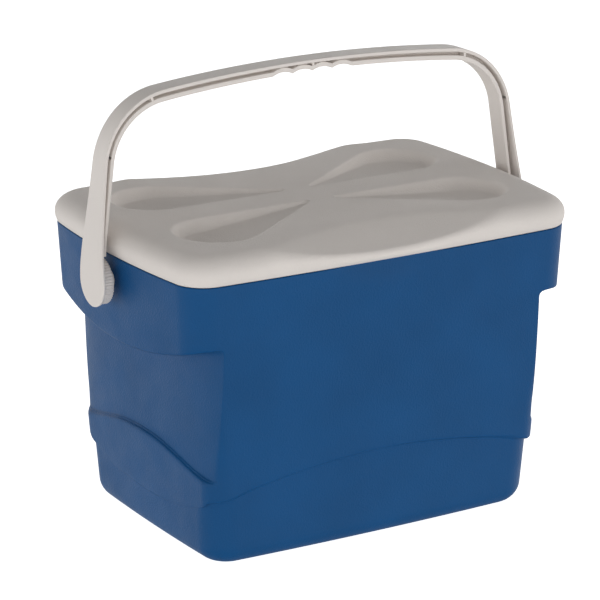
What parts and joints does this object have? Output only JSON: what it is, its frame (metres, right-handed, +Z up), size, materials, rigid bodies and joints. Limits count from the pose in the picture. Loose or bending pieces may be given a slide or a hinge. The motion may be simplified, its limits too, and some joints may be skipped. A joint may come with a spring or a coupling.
{
  "type": "cooler chest",
  "caption": "Insulated cooler chest with a lift-off lid, cup recesses in the lid and a swinging bail handle.",
  "frame": {"origin": "centre of the flat underside of the body", "axes": "+X along the long side, -Y the front, +Z up"},
  "size_m": [0.4552, 0.2928, 0.4279],
  "materials": {
    "blue_shell": "satin",
    "grey_plastic": "satin",
    "white_liner": "satin",
    "foam": "matte"
  },
  "bodies": {
    "chest": {"outer_shell": "blue_shell", "inner_liner": "white_liner", "body_insulation": "foam"},
    "lid": {"lid_top": "grey_plastic", "lid_pan": "white_liner", "lid_insulation": "foam"},
    "handle": {"handle": "grey_plastic", "pivot_hub_left": "grey_plastic", "pivot_hub_right": "grey_plastic"}
  },
  "joints": [
    {"name": "handle_swing", "type": "hinge", "parent": "chest", "child": "handle", "pos_m": [0, 0, 0.25], "axis": [1, 0, 0], "range_deg": [-115, 118]},
    {"name": "lid_lift", "type": "slide", "parent": "chest", "child": "lid", "axis": [0, 0, 1], "range_m": [0, 0.03]}
  ]
}
